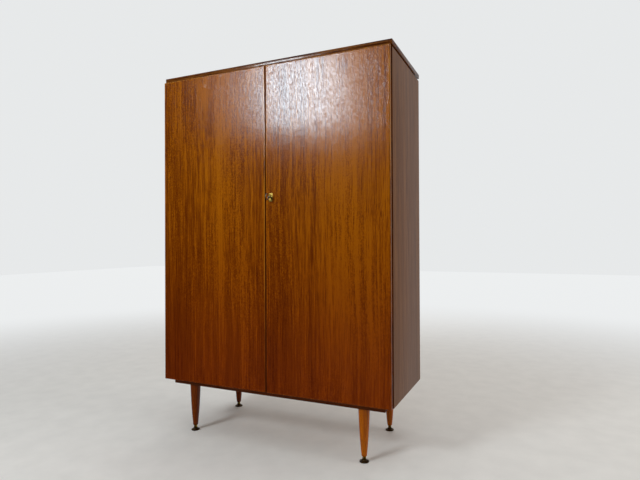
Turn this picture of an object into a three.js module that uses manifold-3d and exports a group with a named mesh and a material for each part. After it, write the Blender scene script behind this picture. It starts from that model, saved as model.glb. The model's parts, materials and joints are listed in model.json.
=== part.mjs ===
// Two-door wardrobe on four tapered legs. Millimetres, +Z up, doors towards -Y.
// The origin is on the floor, at the centre of the whole outline with the key in its lock.
import * as THREE from 'three';
import { mergeVertices } from 'three/addons/utils/BufferGeometryUtils.js';
import Module from 'manifold-3d';

const wasm = await Module();
wasm.setup();

// Driving dimensions
const totalHeight = 1810;
const totalDepth = 510; // front of the doors to the rear edges
const topWidth = 1210;
const carcassWidth = 1206;
const doorsWidth = 1200; // both doors and the gap between them
const doorHeight = 1522;
const doorThickness = 16;
const doorGap = 3; // where the two doors meet
const hingeGap = 9; // between the doors' backs and the front edges of the carcass
const topThickness = 20;
const topGroove = 10; // recessed strips between the carcass and the top panel
const doorTopClearance = 6;
const boardThickness = 19; // sides, bottom and divider
const thinBoard = 16; // shelves and the carcass's own top board
const baseHeight = 25;
const baseRailWidth = 64;
const baseFrontSetBack = 7; // behind the front edges of the carcass
const baseRearSetBack = 20;
const baseEndSetBack = 37; // inwards of the doors' outer edges
const legFootHeight = 26; // floor to the underside of a leg
const legInsetX = 143; // leg axis to the end of the doors
const keyReach = 48; // how far the key stands out in front of the doors
const keyInset = 28; // key axis to the meeting edge of its door
const keyHeight = 1168;
const seam = 0.3; // play between two pieces that touch
const overcut = 1; // how far a cutting tool reaches past the face it opens

// Planes that follow from them
const frontY = keyReach - (totalDepth + keyReach) / 2;
const backY = frontY + totalDepth;
const doorBackY = frontY + doorThickness;
const carcassFrontY = doorBackY + hingeGap;
const topUnderside = totalHeight - topThickness;
const carcassTop = topUnderside - topGroove;
const doorTop = topUnderside - doorTopClearance;
const carcassBottom = doorTop - doorHeight;
const legTop = carcassBottom - baseHeight;
const sideOuterX = carcassWidth / 2;
const sideInnerX = sideOuterX - boardThickness;
const dividerX = boardThickness / 2;
const doorOuterX = doorsWidth / 2;
const doorMeetX = doorGap / 2;
const floorBoardTop = carcassBottom + boardThickness;
const ceiling = carcassTop - thinBoard;
const backPanelThickness = 4;
const rebateDepth = backPanelThickness + 1;
const rebateWidth = boardThickness / 2;
const interiorBackY = backY - rebateDepth - seam;

function finish(colour, roughness, metalness = 0) {
  return new THREE.MeshStandardMaterial({ color: colour, roughness, metalness });
}

const doorVeneer = finish(0x7b4008, 0.32);
const sideVeneer = finish(0x75503a, 0.35);
const topVeneer = finish(0x5a2c0e, 0.35);
const darkStain = finish(0x2e1008, 0.5);
const legWood = finish(0x8b4805, 0.3);
const innerVeneer = finish(0xb98a58, 0.5);
const plywood = finish(0xa57b4e, 0.7);
const bronze = finish(0x3a2812, 0.4, 0.9);
const brass = finish(0xb08c30, 0.3, 1);
const steel = finish(0x9a9a98, 0.35, 1);
const magnetHousing = finish(0xe4dcc8, 0.5);

const wardrobe = new THREE.Group();

function addMesh(name, geometry, material, position = [0, 0, 0]) {
  const mesh = new THREE.Mesh(geometry, material);
  mesh.name = name;
  mesh.position.set(...position);
  wardrobe.add(mesh);
}

// A board between two opposite corners.
function addBoard(name, material, low, high) {
  const size = low.map((value, i) => Math.abs(high[i] - value));
  const centre = low.map((value, i) => (value + high[i]) / 2);
  addMesh(name, new THREE.BoxGeometry(...size), material, centre);
}

function blockBetween(low, high) {
  const size = low.map((value, i) => Math.abs(high[i] - value));
  const block = new THREE.BoxGeometry(...size);
  block.translate(...low.map((value, i) => (value + high[i]) / 2));
  return block;
}

function toSolid(geometry) {
  const bare = geometry.clone();
  bare.deleteAttribute('normal');
  bare.deleteAttribute('uv');
  const merged = mergeVertices(bare, 1e-3);
  const vertProperties = merged.attributes.position.array;
  const triVerts = new Uint32Array(merged.index.array);
  return new wasm.Manifold(new wasm.Mesh({ numProp: 3, vertProperties, triVerts }));
}

function toGeometry(solid) {
  const mesh = solid.getMesh();
  const geometry = new THREE.BufferGeometry();
  geometry.setAttribute('position', new THREE.BufferAttribute(mesh.vertProperties, 3));
  geometry.setIndex(new THREE.BufferAttribute(mesh.triVerts, 1));
  geometry.computeVertexNormals();
  return geometry;
}

function join(...geometries) {
  return toGeometry(geometries.map(toSolid).reduce((whole, piece) => whole.add(piece)));
}

function cut(geometry, ...tools) {
  return toGeometry(tools.map(toSolid).reduce((rest, tool) => rest.subtract(tool), toSolid(geometry)));
}

// A round bar along Z between two heights.
function barAlongZ(x, y, low, high, radius, segments = 16) {
  const bar = new THREE.CylinderGeometry(radius, radius, high - low, segments);
  bar.rotateX(Math.PI / 2);
  bar.translate(x, y, (low + high) / 2);
  return bar;
}

// A turned piece about Z, from a profile of [radius, height] points.
function turned(profile, segments = 24) {
  const points = profile.map(([radius, height]) => new THREE.Vector2(radius, height));
  return new THREE.LatheGeometry(points, segments).rotateX(Math.PI / 2);
}

// A plate standing in the XZ plane: its back is at Y = 0 and its face at -thickness.
function standingPlate(shape, thickness, curveSegments = 8) {
  const options = { depth: thickness, bevelEnabled: false, curveSegments };
  return new THREE.ExtrudeGeometry(shape, options).rotateX(Math.PI / 2);
}

function rectangle(left, bottom, right, top) {
  const shape = new THREE.Shape();
  shape.moveTo(left, bottom);
  shape.lineTo(right, bottom);
  shape.lineTo(right, top);
  shape.lineTo(left, top);
  return shape;
}

function roundedRectangle(width, height, radius) {
  const shape = new THREE.Shape();
  const x = width / 2 - radius;
  const y = height / 2 - radius;
  shape.absarc(x, -y, radius, -Math.PI / 2, 0);
  shape.absarc(x, y, radius, 0, Math.PI / 2);
  shape.absarc(-x, y, radius, Math.PI / 2, Math.PI);
  shape.absarc(-x, -y, radius, Math.PI, Math.PI * 1.5);
  return shape;
}

// A round eye with a slot below it for the bit of the key.
function keyhole(x, y) {
  const eyeRadius = 3.8;
  const slotHalf = 1.6;
  const slotDepth = 10;
  const corner = Math.asin(slotHalf / eyeRadius);
  const path = new THREE.Path();
  path.absarc(x, y, eyeRadius, corner - Math.PI / 2, Math.PI * 1.5 - corner);
  path.lineTo(x - slotHalf, y - slotDepth);
  path.lineTo(x + slotHalf, y - slotDepth);
  return path;
}

// Top panel, and the recessed dark strips that it rests on

function addTop() {
  const stripWidth = 40;
  const stripInset = 12;
  const stripX = sideOuterX - stripInset;
  const stripFrontY = carcassFrontY + stripInset;
  const stripBackY = backY - stripInset;
  const low = carcassTop + seam;
  const high = topUnderside - seam;
  addBoard('top_panel', topVeneer,
    [-topWidth / 2, doorBackY, topUnderside], [topWidth / 2, backY, totalHeight]);
  addBoard('top_spacer_front', darkStain,
    [-stripX, stripFrontY, low], [stripX, stripFrontY + stripWidth, high]);
  addBoard('top_spacer_rear', darkStain,
    [-stripX, stripBackY - stripWidth, low], [stripX, stripBackY, high]);
  for (const [side, sign] of [['left', -1], ['right', 1]]) {
    addBoard(`top_spacer_${side}`, darkStain,
      [sign * (stripX - stripWidth), stripFrontY + stripWidth + seam, low],
      [sign * stripX, stripBackY - stripWidth - seam, high]);
  }
}

// Carcass: two rebated sides, bottom board, inner top board, divider and back panel

function addSide(side, sign) {
  const inner = sideInnerX;
  const rebateX = sideOuterX - rebateWidth;
  const rebateY = backY - rebateDepth;
  const outline = new THREE.Shape();
  outline.moveTo(sign * inner, carcassFrontY);
  outline.lineTo(sign * sideOuterX, carcassFrontY);
  outline.lineTo(sign * sideOuterX, backY);
  outline.lineTo(sign * rebateX, backY);
  outline.lineTo(sign * rebateX, rebateY);
  outline.lineTo(sign * inner, rebateY);
  const board = new THREE.ExtrudeGeometry(outline, {
    depth: carcassTop - carcassBottom,
    bevelEnabled: false,
  });
  addMesh(`side_panel_${side}`, board, sideVeneer, [0, 0, carcassBottom]);
}

function addCarcass() {
  addSide('left', -1);
  addSide('right', 1);
  const innerX = sideInnerX - seam;
  addBoard('bottom_panel', innerVeneer,
    [-innerX, carcassFrontY, carcassBottom], [innerX, interiorBackY, floorBoardTop]);
  addBoard('inner_top_board', innerVeneer,
    [-innerX, carcassFrontY, ceiling], [innerX, interiorBackY, carcassTop]);
  addBoard('centre_divider', innerVeneer,
    [-dividerX, carcassFrontY, floorBoardTop + seam], [dividerX, interiorBackY, ceiling - seam]);
  const backX = sideOuterX - rebateWidth - seam;
  const backEdge = 2;
  addBoard('back_panel', plywood,
    [-backX, interiorBackY + 2 * seam, carcassBottom + backEdge],
    [backX, interiorBackY + 2 * seam + backPanelThickness, carcassTop - backEdge]);
}

// Shelves: three in the left half, one above the hanging space in the right half

function addShelf(name, cleatName, nearX, farX, underside) {
  const frontSetBack = 20;
  const cleatHeight = 18;
  const cleatWidth = 12;
  const cleatSetBack = 32;
  addBoard(name, innerVeneer,
    [nearX + seam, carcassFrontY + frontSetBack, underside],
    [farX - seam, interiorBackY - seam, underside + thinBoard]);
  const cleatLow = underside - seam - cleatHeight;
  const cleatFrontY = carcassFrontY + cleatSetBack;
  const cleatBackY = interiorBackY - seam;
  addBoard(`${cleatName}_left`, innerVeneer,
    [nearX + seam, cleatFrontY, cleatLow],
    [nearX + seam + cleatWidth, cleatBackY, underside - seam]);
  addBoard(`${cleatName}_right`, innerVeneer,
    [farX - seam - cleatWidth, cleatFrontY, cleatLow],
    [farX - seam, cleatBackY, underside - seam]);
}

const shelfCount = 3;
const shelfPitch = (ceiling - floorBoardTop + thinBoard) / (shelfCount + 1);
const hatSpace = 300;
const hatShelfUnderside = ceiling - hatSpace - thinBoard;

function addShelves() {
  for (let i = 1; i <= shelfCount; i += 1) {
    const underside = floorBoardTop + i * shelfPitch - thinBoard;
    addShelf(`shelf_${i}`, `shelf_${i}_cleat`, -sideInnerX, -dividerX, underside);
  }
  addShelf('hat_shelf', 'hat_shelf_cleat', dividerX, sideInnerX, hatShelfUnderside);
}

// Clothes rail: a tube held at each end in a flanged cup

function addClothesRail() {
  const tubeRadius = 11;
  const wall = 1.5;
  const flangeRadius = 23;
  const flangeThickness = 3;
  const cupRadius = 14.5;
  const cupDepth = 15;
  const play = 0.4;
  const railDrop = 60; // below the hat shelf
  const railY = (carcassFrontY + interiorBackY) / 2;
  const railZ = hatShelfUnderside - railDrop;
  const nearX = dividerX + seam;
  const farX = sideInnerX - seam;

  const cup = turned([
    [0, 0],
    [flangeRadius, 0],
    [flangeRadius, flangeThickness],
    [cupRadius, flangeThickness],
    [cupRadius, cupDepth],
    [tubeRadius + play, cupDepth],
    [tubeRadius + play, flangeThickness],
    [0, flangeThickness],
  ]);
  addMesh('rail_socket_left', cup.clone().rotateY(Math.PI / 2), steel, [nearX, railY, railZ]);
  addMesh('rail_socket_right', cup.clone().rotateY(-Math.PI / 2), steel, [farX, railY, railZ]);

  const ring = new THREE.Shape();
  ring.absarc(0, 0, tubeRadius, 0, Math.PI * 2);
  const bore = new THREE.Path();
  bore.absarc(0, 0, tubeRadius - wall, 0, Math.PI * 2);
  ring.holes.push(bore);
  const startX = nearX + flangeThickness + play;
  const length = farX - flangeThickness - play - startX;
  const tube = new THREE.ExtrudeGeometry(ring, { depth: length, bevelEnabled: false, curveSegments: 12 });
  addMesh('clothes_rail', tube.rotateY(Math.PI / 2), steel, [startX, railY, railZ]);
}

// Base: four flat rails under the bottom board, four tapered legs, four levelling feet

const baseFrontY = carcassFrontY + baseFrontSetBack;
const baseBackY = backY - baseRearSetBack;
const baseEndX = doorOuterX - baseEndSetBack;
const legX = doorOuterX - legInsetX;
const legFrontY = baseFrontY + baseRailWidth / 2;
const legRearY = baseBackY - baseRailWidth / 2;

function addBase() {
  const high = carcassBottom - seam;
  addBoard('base_rail_front', darkStain,
    [-baseEndX, baseFrontY, legTop], [baseEndX, baseFrontY + baseRailWidth, high]);
  addBoard('base_rail_rear', darkStain,
    [-baseEndX, baseBackY - baseRailWidth, legTop], [baseEndX, baseBackY, high]);
  for (const [side, sign] of [['left', -1], ['right', 1]]) {
    addBoard(`base_rail_${side}`, darkStain,
      [sign * (baseEndX - baseRailWidth), baseFrontY + baseRailWidth + seam, legTop],
      [sign * baseEndX, baseBackY - baseRailWidth - seam, high]);
  }
}

function addLegsAndFeet() {
  const topRadius = 25.5;
  const bellyRadius = 22.2; // pulls the taper slightly outwards, a little below halfway up
  const bellyDrop = 12;
  const tipRadius = 12;
  const boreRadius = 4.8;
  const boreDepth = 45;
  const legHigh = legTop - seam;
  const belly = new THREE.QuadraticBezierCurve(
    new THREE.Vector2(tipRadius, legFootHeight),
    new THREE.Vector2(bellyRadius, (legTop + legFootHeight) / 2 - bellyDrop),
    new THREE.Vector2(topRadius, legHigh),
  );
  const taper = belly.getPoints(8).map((point) => [point.x, point.y]);
  const leg = turned([
    [0, legFootHeight + boreDepth],
    [boreRadius, legFootHeight + boreDepth],
    [boreRadius, legFootHeight],
    ...taper,
    [0, legHigh],
  ]);

  const discRadius = 21;
  const discHeight = 6;
  const rimChamfer = 2;
  const filletRadius = 2.5; // from the disc up to the neck
  const neckRadius = 8.5;
  const studRadius = 4;
  const studLength = 28;
  const studTop = legFootHeight + studLength;
  const foot = turned([
    [0, 0],
    [discRadius - rimChamfer, 0],
    [discRadius, rimChamfer],
    [discRadius, discHeight - rimChamfer],
    [discRadius - rimChamfer, discHeight],
    [neckRadius + filletRadius, discHeight + filletRadius],
    [neckRadius, discHeight + 2 * filletRadius],
    [neckRadius, legFootHeight - seam],
    [studRadius, legFootHeight - seam],
    [studRadius, studTop],
    [0, studTop],
  ]);

  for (const [side, x] of [['left', -legX], ['right', legX]]) {
    for (const [end, y] of [['front', legFrontY], ['rear', legRearY]]) {
      addMesh(`leg_${end}_${side}`, leg, legWood, [x, y, 0]);
      addMesh(`levelling_foot_${end}_${side}`, foot, bronze, [x, y, 0]);
    }
  }
}

// Doors: plain slabs laid on in front of the carcass; the right one carries the lock

const keyX = doorMeetX + keyInset;

function addDoors() {
  addBoard('door_left_panel', doorVeneer,
    [-doorOuterX, frontY, carcassBottom], [-doorMeetX, doorBackY, doorTop]);
  const face = rectangle(doorMeetX, carcassBottom, doorOuterX, doorTop);
  face.holes.push(keyhole(keyX, keyHeight));
  addMesh('door_right_panel', standingPlate(face, doorThickness), doorVeneer, [0, doorBackY, 0]);
}

// Lift-off hinges: the frame leaf carries the pin in its lower knuckle, and the
// door leaf drops over it with a blind bore. The knuckles lie in the gap behind the door.

function addHinge(side, sign, level, z) {
  const leafHeight = 60;
  const leafThickness = 1.4;
  const knuckleRadius = 3.5;
  const pinRadius = 1.7;
  const boreRadius = 2;
  const axisInset = 3;
  const plateStart = knuckleRadius + 1; // where the plates begin, clear of the other knuckle
  const overlap = 1; // of a tongue into its plate
  const pinEndInset = 4; // pin tip to the top of the leaves
  const boreEndInset = 3;
  const frameLeafWidth = 12;
  const doorLeafWidth = 22;
  const axisX = sign * (doorOuterX - axisInset);
  const axisY = doorBackY + hingeGap / 2;
  const low = z - leafHeight / 2;
  const high = z + leafHeight / 2;
  const lowerEnd = z - seam;
  const upperStart = z + seam;
  const inward = (distance) => axisX - sign * distance;

  const frameFront = carcassFrontY - seam - leafThickness;
  const frameBack = carcassFrontY - seam;
  const frameLeaf = join(
    blockBetween([inward(plateStart), frameFront, low], [inward(frameLeafWidth), frameBack, high]),
    blockBetween([inward(0), frameFront, low], [inward(plateStart + overlap), frameBack, lowerEnd]),
    barAlongZ(axisX, axisY, low, lowerEnd, knuckleRadius),
    barAlongZ(axisX, axisY, low + overlap, high - pinEndInset, pinRadius),
  );
  addMesh(`hinge_${side}_${level}_frame_leaf`, frameLeaf, bronze);

  const doorFront = doorBackY + seam;
  const doorRear = doorBackY + seam + leafThickness;
  const solidLeaf = join(
    blockBetween([inward(plateStart), doorFront, low], [inward(doorLeafWidth), doorRear, high]),
    blockBetween([inward(0), doorFront, upperStart], [inward(plateStart + overlap), doorRear, high]),
    barAlongZ(axisX, axisY, upperStart, high, knuckleRadius),
  );
  const pinBore = barAlongZ(axisX, axisY, upperStart - overcut, high - boreEndInset, boreRadius);
  const doorLeaf = cut(solidLeaf, pinBore);
  addMesh(`hinge_${side}_${level}_door_leaf`, doorLeaf, bronze);
}

function addHinges() {
  const endInset = 110;
  const levels = {
    bottom: carcassBottom + endInset,
    middle: (carcassBottom + doorTop) / 2,
    top: doorTop - endInset,
  };
  for (const [side, sign] of [['left', -1], ['right', 1]]) {
    for (const [level, z] of Object.entries(levels)) {
      addHinge(side, sign, level, z);
    }
  }
}

// Lock: escutcheon, rim case on the back of the right door, bolt, key, and a strike
// plate on the divider that stands forward of it so that the bolt can pass through

const boltSetBack = 4; // door back to the bolt's front face
const boltFrontY = doorBackY + boltSetBack;
const boltThickness = 4.5;
const boltLow = 4;
const boltHigh = 16;
const bitRadius = 9;
const strikeClearance = 3.5; // divider to the lock case, with the strike plate between them
const caseLeftX = dividerX + strikeClearance;
const boltThrow = 9;

function addEscutcheon() {
  const width = 20;
  const height = 38;
  const cornerRadius = 3;
  const thickness = 1.6;
  const plate = roundedRectangle(width, height, cornerRadius);
  plate.holes.push(keyhole(0, 0));
  addMesh('escutcheon', standingPlate(plate, thickness), brass, [keyX, frontY - seam, keyHeight]);
}

function addLockCase() {
  const caseWidth = 40;
  const caseHalfHeight = 30;
  const caseDepth = 12;
  const wall = 1.5;
  const slotPlay = 0.5;
  const near = doorBackY + seam;
  const far = near + caseDepth;
  const rightX = caseLeftX + caseWidth;
  const box = blockBetween(
    [caseLeftX, near, keyHeight - caseHalfHeight],
    [rightX, far, keyHeight + caseHalfHeight],
  );
  const hollow = blockBetween(
    [caseLeftX + wall, near - overcut, keyHeight - caseHalfHeight + wall],
    [rightX - wall, far - wall, keyHeight + caseHalfHeight - wall],
  );
  const slot = blockBetween(
    [caseLeftX - overcut, boltFrontY - slotPlay, keyHeight + boltLow - slotPlay],
    [caseLeftX + wall + overcut, boltFrontY + boltThickness + slotPlay, keyHeight + boltHigh + slotPlay],
  );
  addMesh('lock_case', cut(box, hollow, slot), steel);
}

// The bolt is arched over the circle that the key's bit sweeps, along the whole throw.
function addLockBolt() {
  const archPlay = 0.8;
  const archRadius = bitRadius + archPlay;
  const footAngle = Math.asin(boltLow / archRadius);
  const noseInset = 0.2; // nose to the outside of the case, when the bolt is drawn in
  const boltLength = 36;
  const noseX = caseLeftX + noseInset - keyX;
  const tailX = noseX + boltLength;
  const outline = new THREE.Shape();
  outline.moveTo(noseX, boltLow);
  outline.absarc(0, 0, archRadius, Math.PI - footAngle, Math.PI / 2, true);
  outline.absarc(boltThrow, 0, archRadius, Math.PI / 2, footAngle, true);
  outline.lineTo(tailX, boltLow);
  outline.lineTo(tailX, boltHigh);
  outline.lineTo(noseX, boltHigh);
  const bolt = standingPlate(outline, boltThickness, 6);
  addMesh('lock_bolt', bolt, brass, [keyX, boltFrontY + boltThickness, keyHeight]);
}

function addStrikePlate() {
  const thickness = 2;
  const halfHeight = 28;
  const flapDepth = 26; // from the divider's front edge back along its side
  const play = 1;
  const centreZ = keyHeight + (boltLow + boltHigh) / 2;
  const left = dividerX + seam;
  const right = left + thickness;
  const plate = blockBetween(
    [left, doorBackY + 2 * seam, centreZ - halfHeight],
    [right, carcassFrontY + flapDepth, centreZ + halfHeight],
  );
  const opening = blockBetween(
    [left - overcut, boltFrontY - play, keyHeight + boltLow - play],
    [right + overcut, boltFrontY + boltThickness + play, keyHeight + boltHigh + play],
  );
  addMesh('strike_plate', cut(plate, opening), brass);
}

function addKey() {
  const shankRadius = 3;
  const bowHalfHeight = 16.5;
  const bowHalfLength = 13;
  const bowThickness = 3.2;
  const bowBand = 4.6;
  const collarRadius = 4.4;
  const collarLength = 3;
  const bitThickness = 2;
  const bowCentre = bowHalfLength - keyReach; // ahead of the door face
  const shankEnd = doorThickness + boltSetBack + boltThickness + seam;
  const shankStart = bowCentre + bowHalfLength - bowBand / 2;

  const bow = new THREE.Shape();
  bow.absellipse(0, 0, bowHalfHeight, bowHalfLength, 0, Math.PI * 2);
  const eye = new THREE.Path();
  eye.absellipse(0, 0, bowHalfHeight - bowBand, bowHalfLength - bowBand, 0, Math.PI * 2);
  bow.holes.push(eye);
  const ring = new THREE.ExtrudeGeometry(bow, {
    depth: bowThickness,
    bevelEnabled: false,
    curveSegments: 14,
  });
  ring.translate(0, 0, -bowThickness / 2);
  ring.rotateY(Math.PI / 2);
  ring.translate(0, bowCentre, 0);

  const shank = new THREE.CylinderGeometry(shankRadius, shankRadius, shankEnd - shankStart, 16);
  shank.translate(0, (shankStart + shankEnd) / 2, 0);
  const collar = new THREE.CylinderGeometry(collarRadius, collarRadius, collarLength, 16);
  collar.translate(0, bowCentre + bowHalfLength + collarLength, 0);
  const bit = blockBetween(
    [-bitThickness / 2, boltFrontY - frontY - overcut, -bitRadius],
    [bitThickness / 2, boltFrontY - frontY + boltThickness, -shankRadius / 2],
  );
  addMesh('key', join(ring, shank, collar, bit), steel, [keyX, frontY, keyHeight]);
}

// Magnetic catch that holds the left door shut: a block on the divider and a plate on the door

function addCatch() {
  const blockWidth = 14;
  const blockHalfHeight = 22;
  const blockDepth = 24; // behind the divider's front edge
  const plateThickness = 1.2;
  const plateWidth = 22;
  const plateHalfHeight = 17;
  const plateOverlap = 2; // of the plate over the divider's edge
  const blockX = dividerX + seam;
  const plateBackY = doorBackY + seam + plateThickness;
  addBoard('magnetic_catch', magnetHousing,
    [-blockX - blockWidth, plateBackY + seam, keyHeight - blockHalfHeight],
    [-blockX, carcassFrontY + blockDepth, keyHeight + blockHalfHeight]);
  addBoard('catch_plate', steel,
    [-dividerX - plateWidth + plateOverlap, doorBackY + seam, keyHeight - plateHalfHeight],
    [-dividerX + plateOverlap, plateBackY, keyHeight + plateHalfHeight]);
}

addTop();
addCarcass();
addShelves();
addClothesRail();
addBase();
addLegsAndFeet();
addDoors();
addHinges();
addEscutcheon();
addLockCase();
addLockBolt();
addStrikePlate();
addKey();
addCatch();

export default wardrobe;
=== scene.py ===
import json
import math
import random

import bmesh
import bpy
from mathutils import Matrix, Vector


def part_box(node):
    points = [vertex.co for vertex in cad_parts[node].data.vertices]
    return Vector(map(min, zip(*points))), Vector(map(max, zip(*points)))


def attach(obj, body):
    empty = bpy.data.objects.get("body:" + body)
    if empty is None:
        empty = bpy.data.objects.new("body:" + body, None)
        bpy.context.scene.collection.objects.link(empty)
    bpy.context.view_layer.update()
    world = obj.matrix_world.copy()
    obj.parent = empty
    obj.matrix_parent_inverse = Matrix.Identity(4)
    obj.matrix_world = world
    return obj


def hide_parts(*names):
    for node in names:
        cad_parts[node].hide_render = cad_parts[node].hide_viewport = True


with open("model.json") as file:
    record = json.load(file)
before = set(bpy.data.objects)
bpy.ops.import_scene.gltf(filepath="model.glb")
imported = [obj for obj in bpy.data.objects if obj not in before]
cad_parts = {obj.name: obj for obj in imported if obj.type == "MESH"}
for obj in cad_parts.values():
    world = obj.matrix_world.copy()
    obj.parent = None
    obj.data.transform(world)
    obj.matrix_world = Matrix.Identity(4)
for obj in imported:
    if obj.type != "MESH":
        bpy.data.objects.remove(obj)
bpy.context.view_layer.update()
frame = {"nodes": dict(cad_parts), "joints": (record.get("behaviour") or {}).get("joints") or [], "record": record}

# Two-door wardrobe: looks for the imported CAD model. Metres, +Z up, doors towards -Y.

jointPlaces = {joint["name"]: Vector(joint.get("pos_m", (0, 0, 0))) for joint in frame["joints"]}
bodyOfNode = {}
for bodyName, nodeNames in frame["record"]["behaviour"]["bodies"].items():
    for nodeName in nodeNames:
        bodyOfNode[nodeName] = bodyName
sides = {"left": -1, "right": 1}
shelves = ("shelf_1", "shelf_2", "shelf_3", "hat_shelf")
millimetre = 0.001


# Camera and studio

cameraView = {
    "place": (1.1637, -2.1863, 0.9559),
    "headingDegrees": 24.37,  # turned from +Y towards -X
    "pitchDegrees": 0.35,
    "rollDegrees": 0.24,
    "lens": 27.37,
    "sensorWidth": 36.0,
    "clipEnd": 60,
}

studio = {
    "floorHalfSize": 14.0,
    "floorColour": (0.80, 0.775, 0.74),
    "floorRoughness": 0.7,
    "floorSpeckle": 9,
    "speckleTone": (0.97, 1.03),
    "floorFade": (1.5, 5.5),  # distance over which the floor passes into the backdrop
    "backdropSeen": (0.80, 0.815, 0.82),
    "backdropRear": (0.36, 0.37, 0.38),
    "backdropFront": (0.008, 0.008, 0.008),
    "backdropAbove": (0.62, 0.62, 0.61),
    "rearBegins": (-0.35, 0.75),   # from front to rear, as a direction's Y
    "aboveBegins": (0.35, 0.85),   # from the level to above, as its Z
    "exposure": 0.0,
}

lamps = {
    "windowLight": {
        "place": (-1.52, -3.63, 2.86), "aim": (0.10, -0.23, 1.75),
        "size": (0.95, 0.90), "power": 57, "colour": (0.74, 0.89, 1.0), "mirrored": True,
    },
    "windowGlow": {
        "place": (-1.52, -3.68, 2.90), "aim": (0.10, -0.23, 1.75),
        "size": (1.9, 1.25), "power": 12, "colour": (1.0, 0.93, 0.88), "mirrored": True,
    },
    "keyLight": {
        "place": (-1.50, -3.63, 3.10), "aim": (0.10, -0.23, 1.75), "spreadDegrees": 100,
        "size": (0.85, 1.0), "power": 9, "colour": (1.0, 0.96, 0.90), "mirrored": False,
    },
    "overheadLight": {
        "place": (0.2, -1.2, 4.4), "aim": (0.0, 0.1, 0.8),
        "size": (4.0, 4.0), "power": 20, "colour": (1.0, 0.98, 0.95), "mirrored": False,
    },
    "rightFill": {
        "place": (4.2, 0.6, 2.4), "aim": (0.6, 0.0, 1.0),
        "size": (3.0, 3.0), "power": 42, "colour": (1.0, 0.97, 0.93), "mirrored": False,
    },
    "rearFill": {
        "place": (-1.0, 4.6, 2.8), "aim": (0.0, 0.2, 0.9),
        "size": (3.0, 3.0), "power": 45, "colour": (1.0, 0.98, 0.96), "mirrored": False,
    },
}


def addCamera():
    data = bpy.data.cameras.new("studioCamera")
    data.lens = cameraView["lens"]
    data.sensor_width = cameraView["sensorWidth"]
    data.clip_end = cameraView["clipEnd"]
    camera = bpy.data.objects.new("studioCamera", data)
    camera.location = cameraView["place"]
    camera.rotation_euler = (
        math.radians(90 + cameraView["pitchDegrees"]),
        math.radians(cameraView["rollDegrees"]),
        math.radians(cameraView["headingDegrees"]),
    )
    bpy.context.scene.collection.objects.link(camera)
    bpy.context.scene.camera = camera


def addLamp(name, lamp):
    data = bpy.data.lights.new(name, "AREA")
    data.shape = "RECTANGLE"
    data.size, data.size_y = lamp["size"]
    data.energy = lamp["power"]
    data.color = lamp["colour"]
    data.spread = math.radians(lamp.get("spreadDegrees", 180))
    light = bpy.data.objects.new(name, data)
    light.location = lamp["place"]
    direction = Vector(lamp["aim"]) - Vector(lamp["place"])
    light.rotation_euler = direction.to_track_quat("-Z", "Y").to_euler()
    light.visible_camera = False
    light.visible_glossy = lamp["mirrored"]
    bpy.context.scene.collection.objects.link(light)


def addBackdrop():
    # pale where it is seen; as light it is bright behind the wardrobe and dim in front of it
    world = bpy.data.worlds.new("studioWorld")
    world.use_nodes = True
    tree = world.node_tree
    background = tree.nodes["Background"]
    direction = tree.nodes.new("ShaderNodeTexCoord").outputs["Generated"]
    split = tree.nodes.new("ShaderNodeSeparateXYZ")
    tree.links.new(direction, split.inputs[0])
    rear = mapRange(tree, split.outputs["Y"], *studio["rearBegins"], 0, 1)
    level = mixColours(tree, rear, studio["backdropFront"], studio["backdropRear"])
    above = mapRange(tree, split.outputs["Z"], *studio["aboveBegins"], 0, 1)
    lit = mixColours(tree, above, level, studio["backdropAbove"])
    seen = tree.nodes.new("ShaderNodeLightPath").outputs["Is Camera Ray"]
    colour = mixColours(tree, seen, lit, studio["backdropSeen"])
    tree.links.new(colour, background.inputs["Color"])
    bpy.context.scene.world = world


def addFloor():
    bm = bmesh.new()
    bmesh.ops.create_grid(bm, x_segments=1, y_segments=1, size=studio["floorHalfSize"])
    material, tree, shader = startMaterial("studioFloor")
    place = objectPlace(tree)
    speckle = noise(tree, place, evenly(studio["floorSpeckle"]), detail=3)
    tone = mapRange(tree, speckle, *noiseSpan, *studio["speckleTone"])
    tint = mixColours(tree, tone, (0, 0, 0), studio["floorColour"], clamp=False)
    distance = tree.nodes.new("ShaderNodeVectorMath")
    distance.operation = "LENGTH"
    tree.links.new(place, distance.inputs[0])
    fade = mapRange(tree, distance.outputs["Value"], *studio["floorFade"], 0, 1, smooth=True)
    tree.links.new(mixColours(tree, fade, tint, (0, 0, 0)), shader.inputs["Base Color"])
    seen = tree.nodes.new("ShaderNodeLightPath").outputs["Is Camera Ray"]
    glow = mixColours(tree, fade, (0, 0, 0), studio["backdropSeen"])
    tree.links.new(glow, shader.inputs["Emission Color"])
    tree.links.new(seen, shader.inputs["Emission Strength"])
    shader.inputs["Roughness"].default_value = studio["floorRoughness"]
    floor = placeMesh("studioFloor", bm, [material])
    floor.visible_glossy = False


# Node helpers

noiseSpan = (0.3, 0.7)  # most of a noise's values lie in it


def evenly(scale):
    return (scale, scale, scale)


def startMaterial(name):
    material = bpy.data.materials.new(name)
    material.use_nodes = True
    tree = material.node_tree
    return material, tree, tree.nodes["Principled BSDF"]


def objectPlace(tree):
    return tree.nodes.new("ShaderNodeTexCoord").outputs["Object"]


def mapped(tree, vector, location=(0, 0, 0), rotation=(0, 0, 0), scale=(1, 1, 1)):
    mapping = tree.nodes.new("ShaderNodeMapping")
    mapping.inputs["Location"].default_value = location
    mapping.inputs["Rotation"].default_value = [math.radians(angle) for angle in rotation]
    mapping.inputs["Scale"].default_value = scale
    tree.links.new(vector, mapping.inputs["Vector"])
    return mapping.outputs["Vector"]


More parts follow.
